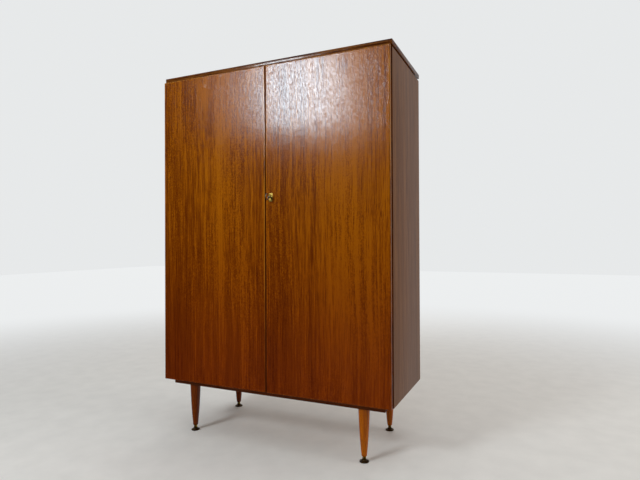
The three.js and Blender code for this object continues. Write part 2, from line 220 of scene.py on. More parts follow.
def noise(tree, vector, scale, detail=2.0, roughness=0.5, output="Fac"):
    texture = tree.nodes.new("ShaderNodeTexNoise")
    texture.inputs["Scale"].default_value = 1.0
    texture.inputs["Detail"].default_value = detail
    texture.inputs["Roughness"].default_value = roughness
    tree.links.new(mapped(tree, vector, scale=scale), texture.inputs["Vector"])
    return texture.outputs[output]


def mapRange(tree, value, fromLow, fromHigh, toLow, toHigh, smooth=False):
    node = tree.nodes.new("ShaderNodeMapRange")
    node.interpolation_type = "SMOOTHSTEP" if smooth else "LINEAR"
    for socket, number in zip(node.inputs[1:5], (fromLow, fromHigh, toLow, toHigh)):
        socket.default_value = number
    tree.links.new(value, node.inputs["Value"])
    return node.outputs["Result"]


def calculate(tree, operation, first, second=0):
    node = tree.nodes.new("ShaderNodeMath")
    node.operation = operation
    for socket, value in zip(node.inputs, (first, second)):
        if isinstance(value, (int, float)):
            socket.default_value = value
        else:
            tree.links.new(value, socket)
    return node.outputs[0]


def mixColours(tree, factor, first, second, blend="MIX", clamp=True):
    node = tree.nodes.new("ShaderNodeMix")
    node.data_type = "RGBA"
    node.blend_type = blend
    node.clamp_factor = clamp
    factorSocket, firstSocket, secondSocket = node.inputs[0], node.inputs[6], node.inputs[7]
    for socket, value in ((factorSocket, factor), (firstSocket, first), (secondSocket, second)):
        if isinstance(value, (int, float)):
            socket.default_value = value
        elif isinstance(value, tuple):
            socket.default_value = (*value, 1)
        else:
            tree.links.new(value, socket)
    return node.outputs[2]


def colourRamp(tree, value, stops):
    ramp = tree.nodes.new("ShaderNodeValToRGB")
    elements = ramp.color_ramp.elements
    for element, (position, colour) in zip(elements, (stops[0], stops[-1])):
        element.position = position
        element.color = (*colour, 1)
    for position, colour in stops[1:-1]:
        elements.new(position).color = (*colour, 1)
    tree.links.new(value, ramp.inputs["Fac"])
    return ramp.outputs["Color"]


def addBump(tree, shader, height, strength, depth):
    bump = tree.nodes.new("ShaderNodeBump")
    bump.inputs["Strength"].default_value = strength
    bump.inputs["Distance"].default_value = depth
    tree.links.new(height, bump.inputs["Height"])
    tree.links.new(bump.outputs["Normal"], shader.inputs["Normal"])


# Wood finishes

grainAlong = {"Z": (0, 0, 0), "X": (0, 90, 0), "Y": (90, 0, 0)}  # turns that bring the grain to Z
plainTint = (1.0, 1.0, 1.0)

doorLook = {
    "colours": ((0.130, 0.023, 0.0003), (0.188, 0.040, 0.0004), (0.235, 0.056, 0.0005),
                (0.305, 0.075, 0.0008), (0.425, 0.123, 0.0020)),  # from the darkest marks to the lightest
    "stripes": 0.22, "ribbons": 0.30, "fibres": 0.34, "fleck": 0.58, "streaks": 0.50, "contrast": 1.7,
    "stripeWidth": 0.05, "ribbonWidth": 0.0068,
    "roughness": (0.135, 0.175), "bump": 0.40, "ripple": 1.1, "telegraph": 0.25, "pores": 0.40,
    "sheen": 0.5,  # strength of the lacquer's shine
    "mottle": 0.46,  # how much the shine varies from place to place
    "paintedFootShade": (0.64, 0.37, 0.30), "footShadeHeights": (0.25, 1.38),  # painted shade and painted warm bounce light: darker and redder towards the foot, gone above the upper height
    "footContrast": 0.50,  # the figure is fainter below
}

sideLook = dict(
    doorLook,
    colours=((0.100, 0.030, 0.004), (0.155, 0.050, 0.008), (0.205, 0.072, 0.013), (0.25, 0.093, 0.019),
             (0.30, 0.12, 0.03)),
    stripes=0.20, ribbons=0.20, fibres=0.20, fleck=0.10, streaks=0.1,
    roughness=(0.36, 0.46), telegraph=0.8, mottle=0.0, paintedFootShade=plainTint,
)

topLook = dict(
    doorLook,
    colours=((0.050, 0.010, 0.002), (0.085, 0.020, 0.003), (0.13, 0.034, 0.004), (0.185, 0.056, 0.007),
             (0.25, 0.085, 0.012)),
)

# solid lippings painted paler than the veneer: a painted highlight for the light caught on their rounded arris
lippingHighlightLook = dict(
    doorLook,
    colours=((0.12, 0.026, 0.001), (0.20, 0.052, 0.002), (0.29, 0.085, 0.003), (0.38, 0.125, 0.007),
             (0.47, 0.18, 0.014)),
    stripes=0.2, ribbons=0.35, fibres=0.4, fleck=0.1,
)

# dark wood for the recessed spacers and base rails; the upright material made from it is painted shade, in the gap
# between the doors and on the sides' front edges
darkLook = dict(
    doorLook,
    colours=((0.065, 0.012, 0.001), (0.090, 0.018, 0.001), (0.12, 0.025, 0.002), (0.15, 0.033, 0.003),
             (0.19, 0.044, 0.004)),
    fleck=0.05, roughness=(0.40, 0.55), telegraph=0.3, sheen=0.1, mottle=0.0, paintedFootShade=plainTint,
)

legLook = dict(
    doorLook,
    colours=((0.15, 0.025, 0.0004), (0.24, 0.046, 0.0006), (0.34, 0.072, 0.0008), (0.45, 0.105, 0.001),
             (0.56, 0.145, 0.002)),
    stripes=0.16, ribbons=0.17, fibres=0.20, fleck=0.0, streaks=0.1, stripeWidth=0.02, ribbonWidth=0.006,
    roughness=(0.18, 0.26), pores=0.3, telegraph=0.0, mottle=0.0, paintedFootShade=plainTint,
)

innerLook = dict(
    doorLook,
    colours=((0.34, 0.17, 0.066), (0.43, 0.235, 0.10), (0.50, 0.285, 0.13), (0.56, 0.335, 0.165),
             (0.63, 0.40, 0.21)),
    stripes=0.32, ribbons=0.24, fibres=0.25, fleck=0.0, streaks=0.1, stripeWidth=0.06,
    roughness=(0.42, 0.55), pores=0.2, telegraph=0.2, mottle=0.0, paintedFootShade=plainTint,
)

plywoodLook = dict(
    innerLook,
    colours=((0.27, 0.145, 0.065), (0.34, 0.19, 0.09), (0.41, 0.24, 0.12), (0.47, 0.285, 0.155),
             (0.54, 0.34, 0.20)),
    stripeWidth=0.09, roughness=(0.62, 0.8), bump=0.8, pores=0.35,
)

# marks to a metre, across the grain and along it; a look's own widths give the three without "across"
woodMarks = {
    "sway": {"across": 1.6, "along": 1.1, "detail": 2},
    "stripes": {"along": 0.55, "detail": 3, "roughness": 0.6},
    "ribbons": {"along": 2.6, "detail": 3, "roughness": 0.62},
    "streaks": {"along": 0.9, "detail": 1},
    "fibres": {"across": 620, "along": 11, "detail": 2, "roughness": 0.6},
    "fleck": {"across": 185, "along": 120, "detail": 2, "roughness": 0.7},
    "clouds": {"across": 4.5, "along": 1.6, "detail": 2},
    "pores": {"across": 1500, "along": 48, "detail": 1},
    "spots": {"across": 240, "along": 75, "detail": 3, "roughness": 0.7},
    "ripple": {"across": 380, "along": 240, "detail": 1},
}

# spans are parts of a noise's range
woodFigure = {
    "swayReach": (0.045, 0.045, 0),
    "streaksPerRibbon": 0.7,
    "swingSpan": (0.25, 0.75),
    "streakSpan": (0.57, 0.72),
    "cloudSpan": (0.40, 0.62),   # where the fleck comes and goes
    "fleckLeast": 0.25,
    "poreSpan": (0.60, 0.70),
    "middleTone": 0.5,
    "colourPlaces": (0.05, 0.32, 0.50, 0.698, 0.95),
    "lacquerIor": 1.48,
    "fibreRelief": 0.35,
    "reliefDepth": 0.00025,
}


def woodNoise(tree, grain, kind, across=None, output="Fac"):
    marks = woodMarks[kind]
    across = across or marks["across"]
    return noise(tree, grain, (across, across, marks["along"]), marks["detail"],
                 marks.get("roughness", 0.5), output)


def bentGrain(tree, straight):
    # a slow noise pushes the grain a little sideways
    bend = tree.nodes.new("ShaderNodeVectorMath")
    bend.operation = "MULTIPLY_ADD"
    bend.inputs[1].default_value = woodFigure["swayReach"]
    tree.links.new(woodNoise(tree, straight, "sway", output="Color"), bend.inputs[0])
    tree.links.new(straight, bend.inputs[2])
    return bend.outputs[0]


def grainMarks(tree, grain, look):
    stripesAcross = 1 / look["stripeWidth"]
    ribbonsAcross = 1 / look["ribbonWidth"]
    marks = {
        "stripes": woodNoise(tree, grain, "stripes", stripesAcross),
        "ribbons": woodNoise(tree, grain, "ribbons", ribbonsAcross),
        "streaks": woodNoise(tree, grain, "streaks", ribbonsAcross * woodFigure["streaksPerRibbon"]),
    }
    for kind in ("fibres", "fleck", "clouds"):
        marks[kind] = woodNoise(tree, grain, kind)
    poreNoise = woodNoise(tree, grain, "pores")
    marks["pores"] = mapRange(tree, poreNoise, *woodFigure["poreSpan"], 0, look["pores"], smooth=True)
    return marks


def figureTone(tree, marks, look, fade):
    # the marks swing the tone round its middle, less towards the foot
    tone = mapRange(tree, marks["streaks"], *woodFigure["streakSpan"], 0, look["streaks"], smooth=True)
    for kind in ("stripes", "ribbons", "fibres"):
        reach = look[kind] * look["contrast"]
        swing = mapRange(tree, marks[kind], *woodFigure["swingSpan"], -reach, reach)
        tone = calculate(tree, "ADD", tone, swing)
    fleck = mapRange(tree, marks["fleck"], *woodFigure["swingSpan"], -look["fleck"], look["fleck"])
    fleckHere = mapRange(tree, marks["clouds"], *woodFigure["cloudSpan"], woodFigure["fleckLeast"], 1,
                         smooth=True)
    tone = calculate(tree, "ADD", tone, calculate(tree, "MULTIPLY", fleck, fleckHere))
    contrast = mapRange(tree, fade, 0, 1, look["footContrast"], 1)
    return calculate(tree, "ADD", calculate(tree, "MULTIPLY", tone, contrast), woodFigure["middleTone"])


def toneOverBoard(tree, tone, turned, fade, toneAcross, lightBand):
    # a slow change from side to side, and a paler band up the board
    split = tree.nodes.new("ShaderNodeSeparateXYZ")
    tree.links.new(turned, split.inputs[0])
    if toneAcross:
        tone = calculate(tree, "ADD", tone, mapRange(tree, split.outputs["X"], *toneAcross, smooth=True))
    if lightBand:
        centre, halfWidth, strength = lightBand
        offCentre = calculate(tree, "ABSOLUTE", calculate(tree, "SUBTRACT", split.outputs["X"], centre))
        band = mapRange(tree, offCentre, 0, halfWidth, strength, 0, smooth=True)
        tone = calculate(tree, "ADD", tone, calculate(tree, "MULTIPLY", band, fade))
    return tone


def paintWood(tree, shader, tone, pores, look, fade):
    colour = colourRamp(tree, tone, list(zip(woodFigure["colourPlaces"], look["colours"])))
    colour = mixColours(tree, pores, colour, look["colours"][0])
    # painted shade and painted warm bounce light, multiplied in towards the foot
    tint = mixColours(tree, fade, look["paintedFootShade"], plainTint)
    tree.links.new(mixColours(tree, 1.0, colour, tint, blend="MULTIPLY"), shader.inputs["Base Color"])


def lacquerWood(tree, shader, straight, marks, look):
    smoothest, roughest = look["roughness"]
    roughness = mapRange(tree, marks["ribbons"], *noiseSpan, roughest, smoothest)
    tree.links.new(roughness, shader.inputs["Roughness"])
    shader.inputs["IOR"].default_value = woodFigure["lacquerIor"]
    if look["mottle"]:
        spots = woodNoise(tree, straight, "spots")
        dullest, brightest = look["sheen"] - look["mottle"], look["sheen"] + look["mottle"]
        shine = mapRange(tree, spots, *noiseSpan, dullest, brightest)
        tree.links.new(shine, shader.inputs["Specular IOR Level"])
    else:
        shader.inputs["Specular IOR Level"].default_value = look["sheen"]
    fibres = calculate(tree, "MULTIPLY", marks["fibres"], woodFigure["fibreRelief"])
    relief = calculate(tree, "SUBTRACT", fibres, marks["pores"])
    ripple = calculate(tree, "MULTIPLY", woodNoise(tree, straight, "ripple"), look["ripple"])
    telegraph = calculate(tree, "MULTIPLY", marks["fleck"], look["telegraph"])
    relief = calculate(tree, "ADD", calculate(tree, "ADD", relief, ripple), telegraph)
    addBump(tree, shader, relief, look["bump"], woodFigure["reliefDepth"])


def woodMaterial(name, look, along="Z", offset=(0, 0, 0), toneAcross=None, lightBand=None):
    # toneAcross: start, end, tone at the start and at the end; lightBand: centre, half width, strength
    material, tree, shader = startMaterial(name)
    turned = mapped(tree, objectPlace(tree), rotation=grainAlong[along])
    straight = mapped(tree, turned, location=offset)
    height = tree.nodes.new("ShaderNodeSeparateXYZ")
    tree.links.new(objectPlace(tree), height.inputs[0])
    # height mask of the painted foot shade: 0 at the foot, 1 above its upper height
    fade = mapRange(tree, height.outputs["Z"], *look["footShadeHeights"], 0, 1, smooth=True)
    marks = grainMarks(tree, bentGrain(tree, straight), look)
    tone = figureTone(tree, marks, look, fade)
    tone = toneOverBoard(tree, tone, turned, fade, toneAcross, lightBand)
    paintWood(tree, shader, tone, marks["pores"], look, fade)
    lacquerWood(tree, shader, straight, marks, look)
    return material


# Metals and plastic

metalLooks = {
    "agedBronze": {
        "colour": (0.085, 0.050, 0.020), "tarnish": (0.020, 0.012, 0.007), "roughness": (0.30, 0.52),
    },
    "wornBrass": {
        "colour": (0.68, 0.44, 0.09), "tarnish": (0.36, 0.22, 0.05), "roughness": (0.36, 0.54),
    },
    "nickelPlate": {
        "colour": (0.52, 0.50, 0.46), "tarnish": (0.24, 0.20, 0.15), "roughness": (0.22, 0.40),
    },
    "screwSteel": {
        "colour": (0.42, 0.36, 0.26), "tarnish": (0.12, 0.09, 0.06), "roughness": (0.30, 0.50),
    },
    "railChrome": {
        "colour": (0.62, 0.61, 0.59), "tarnish": (0.40, 0.38, 0.34), "roughness": (0.14, 0.30),
    },
}

metalWear = {
    "patches": 130,
    "patchSpan": (0.42, 0.68),
    "tarnishMost": 0.85,
    "scratches": (900, 900, 240),
    "scratchBump": 0.12,
    "scratchDepth": 0.0001,
}

plasticLook = {
    "colour": (0.72, 0.66, 0.52),
    "yellowing": (0.90, 0.84, 0.68),
    "mottle": 60,
    "mottleSpan": (0.4, 0.7),
    "grains": 1600,
    "roughness": 0.45,
    "grainBump": 0.15,
    "grainDepth": 0.0001,
}


def metalMaterial(name, look):
    material, tree, shader = startMaterial(name)
    place = objectPlace(tree)
    patches = noise(tree, place, evenly(metalWear["patches"]), detail=4, roughness=0.65)
    scratches = noise(tree, place, metalWear["scratches"], detail=3, roughness=0.6)
    tarnish = mapRange(tree, patches, *metalWear["patchSpan"], 0, metalWear["tarnishMost"], smooth=True)
    tree.links.new(mixColours(tree, tarnish, look["colour"], look["tarnish"]), shader.inputs["Base Color"])
    roughness = mapRange(tree, scratches, *noiseSpan, *look["roughness"])
    tree.links.new(roughness, shader.inputs["Roughness"])
    shader.inputs["Metallic"].default_value = 1.0
    addBump(tree, shader, scratches, metalWear["scratchBump"], metalWear["scratchDepth"])
    return material


def plasticMaterial(name, look):
    material, tree, shader = startMaterial(name)
    place = objectPlace(tree)
    mottle = noise(tree, place, evenly(look["mottle"]), detail=3)
    grains = noise(tree, place, evenly(look["grains"]), detail=1)
    aged = tuple(channel * share for channel, share in zip(look["colour"], look["yellowing"]))
    yellowed = mapRange(tree, mottle, *look["mottleSpan"], 0, 1)
    tree.links.new(mixColours(tree, yellowed, look["colour"], aged), shader.inputs["Base Color"])
    shader.inputs["Roughness"].default_value = look["roughness"]
    addBump(tree, shader, grains, look["grainBump"], look["grainDepth"])
    return material


# Mesh helpers

meshLimits = {
    "spunMerge": 0.000005,
    "nodeMerge": 0.00001,
    "cut": 0.0000001,
    "facing": 0.9,         # a face looks along an axis when this much of its normal does
    "square": 0.99,        # the same, leaving out the facets of a rounding
    "flatDegrees": 1,      # faces of a CAD node that make one flat face
    "smoothDegrees": 35,   # edges sharper than this stay hard
    "squareDegrees": 60,   # square edges only, as on plates and blocks
    "cornerDegrees": 25,   # blunter edges too, as in a rebated side
}


def placeMesh(name, bm, materials):
    mesh = bpy.data.meshes.new(name)
    bm.to_mesh(mesh)
    bm.free()
    for material in materials:
        mesh.materials.append(material)
    piece = bpy.data.objects.new(name, mesh)
    bpy.context.scene.collection.objects.link(piece)
    return piece


def finishPiece(name, bm, materials, node, replaced=True):
    smoothShade(bm)
    piece = placeMesh(name, bm, materials)
    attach(piece, bodyOfNode[node])
    if replaced:
        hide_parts(node)


def blockBetween(bm, low, high):
    corners = [(min(a, b), max(a, b)) for a, b in zip(low, high)]
    size = Vector([b - a for a, b in corners])
    centre = Vector([(a + b) / 2 for a, b in corners])
    block = bmesh.ops.create_cube(bm, size=1)["verts"]
    bmesh.ops.scale(bm, vec=size, verts=block)
    bmesh.ops.translate(bm, vec=centre, verts=block)


def softenEdges(bm, edges, radius, segments=2):
    bmesh.ops.bevel(bm, geom=list(edges), offset=radius, offset_type="OFFSET", segments=segments,
                    profile=0.5, affect="EDGES", material=-1, clamp_overlap=True)


def sharpEdges(bm, degrees=meshLimits["squareDegrees"]):
    limit = math.radians(degrees)
    return [edge for edge in bm.edges if edge.is_manifold and edge.calc_face_angle() > limit]


def smoothShade(bm):
    limit = math.radians(meshLimits["smoothDegrees"])
    for face in bm.faces:
        face.smooth = True
    for edge in bm.edges:
        edge.smooth = not edge.is_manifold or edge.calc_face_angle() < limit


def addPart(bm, part, matrix=None, material=None):
    # puts a finished bmesh into another one and frees it
    if matrix is not None:
        bmesh.ops.transform(part, matrix=matrix, verts=part.verts)
    if material is not None:
        for face in part.faces:
            face.material_index = material
    carrier = bpy.data.meshes.new("carrier")
    part.to_mesh(carrier)
    part.free()
    bm.from_mesh(carrier)
    bpy.data.meshes.remove(carrier)


def closeSeam(bm):
    bmesh.ops.remove_doubles(bm, verts=bm.verts, dist=meshLimits["spunMerge"])
    bmesh.ops.recalc_face_normals(bm, faces=bm.faces)


def turnedShape(profile, steps=48, closed=False):
    # spins a profile of (radius, height) points about Z
    bm = bmesh.new()
    points = [bm.verts.new((radius, 0, height)) for radius, height in profile]
    ends = points[1:] + ([points[0]] if closed else [])
    edges = [bm.edges.new(pair) for pair in zip(points, ends)]
    bmesh.ops.spin(bm, geom=points + edges, cent=(0, 0, 0), axis=(0, 0, 1), dvec=(0, 0, 0),
                   angle=math.tau, steps=steps, use_merge=True, use_duplicate=False)
    closeSeam(bm)
    return bm


def nodeCopy(node):
    # a CAD node's mesh with its loose triangles merged and its flat faces made whole
    bm = bmesh.new()
    bm.from_mesh(frame["nodes"][node].data)
    bmesh.ops.remove_doubles(bm, verts=bm.verts, dist=meshLimits["nodeMerge"])
    bmesh.ops.dissolve_limit(bm, angle_limit=math.radians(meshLimits["flatDegrees"]),
                             verts=bm.verts, edges=bm.edges)
    return bm


def roundedPlate(low, high, flatAxis, cornerRadius, edgeRadius):
    # a metal plate: its corners rounded in its own plane, then the rims of both faces softened
    bm = bmesh.new()
    blockBetween(bm, low, high)
    corners = []
    for edge in bm.edges:
        along = (edge.verts[0].co - edge.verts[1].co).normalized()
        if abs(along[flatAxis]) > meshLimits["facing"]:
            corners.append(edge)
    softenEdges(bm, corners, cornerRadius, segments=5)
    softenEdges(bm, sharpEdges(bm), edgeRadius)
    return bm


def softBar(radius, length, chamfer):
    # profile of a solid round bar with chamfered ends
    return [(0, 0), (radius - chamfer, 0), (radius, chamfer),
            (radius, length - chamfer), (radius - chamfer, length), (0, length)]


def facing(axis):
    # turns +Z to the given direction
    return Vector(axis).normalized().to_track_quat("Z", "Y").to_matrix().to_4x4()


def turnedAlong(profile, place, axis, steps=40, closed=False):
    part = turnedShape(profile, steps, closed)
    bmesh.ops.transform(part, matrix=Matrix.Translation(place) @ facing(axis), verts=part.verts)
    return part


def extruded(bm, faces):
    # pulls out a skin from the faces and gives its new points, still in place
    skin = bmesh.ops.extrude_face_region(bm, geom=faces)
    return [item for item in skin["geom"] if isinstance(item, bmesh.types.BMVert)]


def cutAcross(bm, place, normal):
    geometry = bm.verts[:] + bm.edges[:] + bm.faces[:]
    bmesh.ops.bisect_plane(bm, geom=geometry, dist=meshLimits["cut"], plane_co=place, plane_no=normal)


screwShape = {
    "rise": 0.0006,
    "sunkShare": 0.5,        # part of the rise that goes below the surface
    "rimShare": 0.6,         # rounding of the rim, as part of the rise
    "slotShare": 0.13,       # half the slot's width, as part of the radius
    "slotDepthShare": 0.9,
    "within": 0.9,           # a little inside a rim or a cut, to tell the faces apart
    "steps": 18,
}


def screwHead(radius, slotTurn):
    # a countersunk head with a real slot, its rim a little proud of the surface at z = 0
    rise = screwShape["rise"]
    nearTop = rise * screwShape["within"]
    bm = bmesh.new()
    bmesh.ops.create_circle(bm, cap_ends=True, segments=screwShape["steps"], radius=radius)
    top = extruded(bm, bm.faces[:])
    bmesh.ops.translate(bm, vec=(0, 0, rise * (1 + screwShape["sunkShare"])), verts=top)
    bmesh.ops.translate(bm, vec=(0, 0, -rise * screwShape["sunkShare"]), verts=bm.verts)
    bmesh.ops.recalc_face_normals(bm, faces=bm.faces)
    rim = [edge for edge in bm.edges if all(vert.co.z > nearTop for vert in edge.verts)]
    softenEdges(bm, rim, rise * screwShape["rimShare"])
    slotHalf = radius * screwShape["slotShare"]
    for offset in (-slotHalf, slotHalf):
        cutAcross(bm, (0, offset, 0), (0, 1, 0))
    inSlot = slotHalf * screwShape["within"]
    floor = []
    for face in bm.faces:
        middle = face.calc_center_median()
        if face.normal.z > meshLimits["facing"] and middle.z > nearTop and abs(middle.y) < inSlot:
            floor.append(face)
    bottom = extruded(bm, floor)
    bmesh.ops.delete(bm, geom=[face for face in floor if face.is_valid], context="FACES_ONLY")
    bmesh.ops.translate(bm, vec=(0, 0, -rise * screwShape["slotDepthShare"]), verts=bottom)
    bmesh.ops.rotate(bm, cent=(0, 0, 0), matrix=Matrix.Rotation(slotTurn, 3, "Z"), verts=bm.verts)
    return bm


def addScrews(name, places, axis, radius, node):
    # one piece for a group of alike screws, each slot left at its own angle
    turns = random.Random(name)
    bm = bmesh.new()
    for place in places:
        head = screwHead(radius, turns.uniform(0, math.pi))
        addPart(bm, head, Matrix.Translation(place) @ facing(axis))
    finishPiece(name, bm, [metals["screwSteel"]], node, replaced=False)


# Boards

boardEdges = {
    "arris": 0.0009,       # rounding of a board's edges
    "topArris": 0.0012,
    "baseArris": 0.0015,
    "plywoodArris": 0.0004,
    "lipping": 0.0035,     # solid edge band seen on the face, painted paler as a highlight on the arris
    "paintedShadowDepth": 0.003,    # of the painted shadow of the door, a dark band on a side's front edge
    "doorArris": 0.0016,
    "meetingArris": {"left": 0.0032, "right": 0.0026},
    "meetingTurn": 0.2,    # faces turned this much to the other door get painted shade
    "frontTurn": 0.5,      # and these of a side, turned to the front, the painted shadow of the door
}


def paintFaces(bm, test, index):
    for face in bm.faces:
        if test(face):
            face.material_index = index


def makeBoard(node, material, edgeMaterial=None, faceAxis=2, arris=boardEdges["arris"]):
    # a plain board; its edges, not its two faces, take the edge material
    low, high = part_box(node)
    bm = bmesh.new()
    blockBetween(bm, low, high)
    softenEdges(bm, bm.edges[:], arris)
    if edgeMaterial:
        paintFaces(bm, lambda face: abs(face.normal[faceAxis]) < meshLimits["facing"], 1)
    materials = [material, edgeMaterial] if edgeMaterial else [material]
    finishPiece(node + "_board", bm, materials, node)


# places across a door are from its left edge
doorVeneers = {
    "left": {
        "offset": (3.1, 0.0, 0.4), "fleck": 0.58,
        "toneSpan": (0.0, 0.22), "tones": (-0.13, 0.08),
        "bandPlace": 0.35, "bandHalfWidth": 0.11, "bandStrength": 0.26,
    },
    "right": {
        "offset": (-1.7, 0.4, 2.3), "fleck": 0.46,
        "toneSpan": (0.10, 0.40), "tones": (0.04, 0.22),
        "bandPlace": 0.37, "bandHalfWidth": 0.13, "bandStrength": 0.16,
    },
}


def doorVeneer(side):
    values = doorVeneers[side]
    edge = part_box(f"door_{side}_panel")[0].x
    toneSpan = [edge + place for place in values["toneSpan"]]
    return woodMaterial(
        side + "DoorVeneer", dict(doorLook, fleck=values["fleck"]), offset=values["offset"],
        toneAcross=(*toneSpan, *values["tones"]),
        lightBand=(edge + values["bandPlace"], values["bandHalfWidth"], values["bandStrength"]),
    )


print("wardrobe: materials")
leftDoorVeneer = doorVeneer("left")
rightDoorVeneer = doorVeneer("right")
sideVeneer = woodMaterial("sideVeneer", sideLook, offset=(0.7, 1.9, 5.2))
topVeneer = woodMaterial("topVeneer", topLook, along="X", offset=(0.3, 6.1, 0.8))
# pale lipping wood, a painted highlight on the arrises
lippingHighlightUpright = woodMaterial("lippingHighlightUpright", lippingHighlightLook, offset=(2.2, 0.6, 0.1))
lippingLevel = woodMaterial("lippingLevel", topLook, along="X", offset=(4.2, 0.6, 3.1))
# dark wood of the recessed spacers and base rails
darkRecessWood = woodMaterial("darkRecessWood", darkLook, along="X", offset=(0.9, 0.2, 0.5))
# painted shade: the faces in the gap between the doors, and the sides' front edges in the doors' shadow
paintedGapShade = woodMaterial("paintedGapShade", darkLook, offset=(0.4, 2.2, 1.5))
innerUpright = woodMaterial("innerUpright", innerLook, offset=(8.0, 1.0, 0.3))
innerLevel = woodMaterial("innerLevel", innerLook, along="X", offset=(1.0, 4.0, 0.9))
# painted shade and painted light: the left legs, in the wardrobe's shadow, darker, the right legs lighter
legWood = woodMaterial("legWood", legLook, offset=(6.0, 3.0, 2.0), toneAcross=(-0.5, 0.5, -0.42, 0.18))
backPlywood = woodMaterial("backPlywood", plywoodLook, offset=(5.0, 2.0, 1.0))
metals = {name: metalMaterial(name, look) for name, look in metalLooks.items()}
ivoryPlastic = plasticMaterial("ivoryPlastic", plasticLook)


# Doors: veneered slabs with solid lippings, painted paler as a highlight on the arris, and painted shade on the
# faces in the gap; the right one has a hole for the key behind its escutcheon

doorKeyHole = {
    "width": 0.011,
    "height": 0.022,
    "drop": 0.003,  # centre of the hole below the key's axis
}


def cutThrough(bm, lowX, highX, lowZ, highZ):
    # a square hole along Y: four cuts, then the two faces inside them become a tunnel
    for x in (lowX, highX):
        cutAcross(bm, (x, 0, 0), (1, 0, 0))
    for z in (lowZ, highZ):
        cutAcross(bm, (0, 0, z), (0, 0, 1))
    inside = []
    for face in bm.faces:
        middle = face.calc_center_median()
        if lowX < middle.x < highX and lowZ < middle.z < highZ:
            inside.append(face)
    bmesh.ops.delete(bm, geom=inside, context="FACES_ONLY")
    rims = [edge for edge in bm.edges if edge.is_boundary]
    bmesh.ops.bridge_loops(bm, edges=rims)
    bmesh.ops.recalc_face_normals(bm, faces=bm.faces)


def cutKeyHole(bm):
    axis = jointPlaces["key_turn"]
    middle = axis.z - doorKeyHole["drop"]
    halfWidth = doorKeyHole["width"] / 2
    halfHeight = doorKeyHole["height"] / 2
    cutThrough(bm, axis.x - halfWidth, axis.x + halfWidth, middle - halfHeight, middle + halfHeight)


def meetingUprights(bm, meetingX):
    # the two upright edges where the doors meet
    found = []
    for edge in bm.edges:
        start, end = [vert.co for vert in edge.verts]
        upright = abs(start.z - end.z) > millimetre
        if upright and abs(start.x - meetingX) < millimetre:
            found.append(edge)
    return found


def makeDoor(side, veneer):
    node = f"door_{side}_panel"
    low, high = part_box(node)
    meeting = -sides[side]
    bm = bmesh.new()
    blockBetween(bm, low, high)
    softenEdges(bm, meetingUprights(bm, high.x if meeting > 0 else low.x),
                boardEdges["meetingArris"][side], segments=4)
    softenEdges(bm, sharpEdges(bm), boardEdges["doorArris"], segments=3)
    bigFaces = [face for face in bm.faces if abs(face.normal.y) > meshLimits["square"]]
    # the pale lippings, a painted highlight on the arris, take every face but the veneered ones
    paintFaces(bm, lambda face: True, 1)
    bmesh.ops.inset_individual(bm, faces=bigFaces, thickness=boardEdges["lipping"], use_even_offset=True)
    for face in bigFaces:
        face.material_index = 0
    # painted shade: faces turned into the gap between the doors take the dark material
    paintFaces(bm, lambda face: face.normal.x * meeting > boardEdges["meetingTurn"], 2)
    if side == "right":
        # the veneer runs to the meeting edge, so no painted highlight of the pale lipping shows by the gap
        border = low.x + boardEdges["lipping"] + boardEdges["meetingArris"][side]
        front = [face for face in bm.faces if -face.normal.y > meshLimits["facing"]]
        for face in front:
            if face.calc_center_median().x < border:
                face.material_index = 0
        cutKeyHole(bm)
    finishPiece(node + "_veneered", bm, [veneer, lippingHighlightUpright, paintedGapShade], node)


# Carcass

def makeSide(side):
    node = "side_panel_" + side
    sign = sides[side]
    low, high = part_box(node)
    inner = low.x if sign > 0 else high.x
    bm = nodeCopy(node)
    softenEdges(bm, sharpEdges(bm, meshLimits["cornerDegrees"]), boardEdges["arris"])
    for face in bm.faces:
        outside = face.normal.x * sign
        middle = face.calc_center_median()
        if outside > meshLimits["facing"]:
            face.material_index = 0
        elif -outside > meshLimits["facing"] and abs(middle.x - inner) < millimetre:
            face.material_index = 1
        # painted shadow of the door: the side's front edge, just behind the door, takes the dark material
        elif -face.normal.y > boardEdges["frontTurn"] and middle.y < low.y + boardEdges["paintedShadowDepth"]:
            face.material_index = 3
        else:
            face.material_index = 2
    finishPiece(node + "_veneered", bm, [sideVeneer, innerUpright, lippingHighlightUpright, paintedGapShade], node)


def makeCarcass():
    for side in sides:
        makeSide(side)
    makeBoard("top_panel", topVeneer, lippingLevel, arris=boardEdges["topArris"])
    for node in ("bottom_panel", "inner_top_board"):
        makeBoard(node, innerLevel, lippingLevel)
    makeBoard("centre_divider", innerUpright, lippingHighlightUpright, faceAxis=0)
    makeBoard("back_panel", backPlywood, arris=boardEdges["plywoodArris"])
    for side in ("front", "rear", "left", "right"):
        makeBoard("top_spacer_" + side, darkRecessWood)
        makeBoard("base_rail_" + side, darkRecessWood, arris=boardEdges["baseArris"])
    for shelf in shelves:
        makeBoard(shelf, innerLevel, lippingLevel)
        for side in sides:
            makeBoard(f"{shelf}_cleat_{side}", innerLevel)


print("wardrobe: boards and doors")
makeCarcass()
makeDoor("left", leftDoorVeneer)
makeDoor("right", rightDoorVeneer)


# Legs and levelling feet

legShape = {
    "endRadius": 0.012,
    "bellyRadius": 0.0222,  # pulls the taper outwards
    "topRadius": 0.0255,
    "bellyRise": 0.0935,    # of the pull point above the leg's end
    "boreRadius": 0.0048,
    "boreDepth": 0.045,
    "rounding": 0.0012,
    "curveStart": 0.012,    # parts of the curve that are left to the roundings
    "curveEnd": 0.994,
    "curveSteps": 18,
    "steps": 56,
}

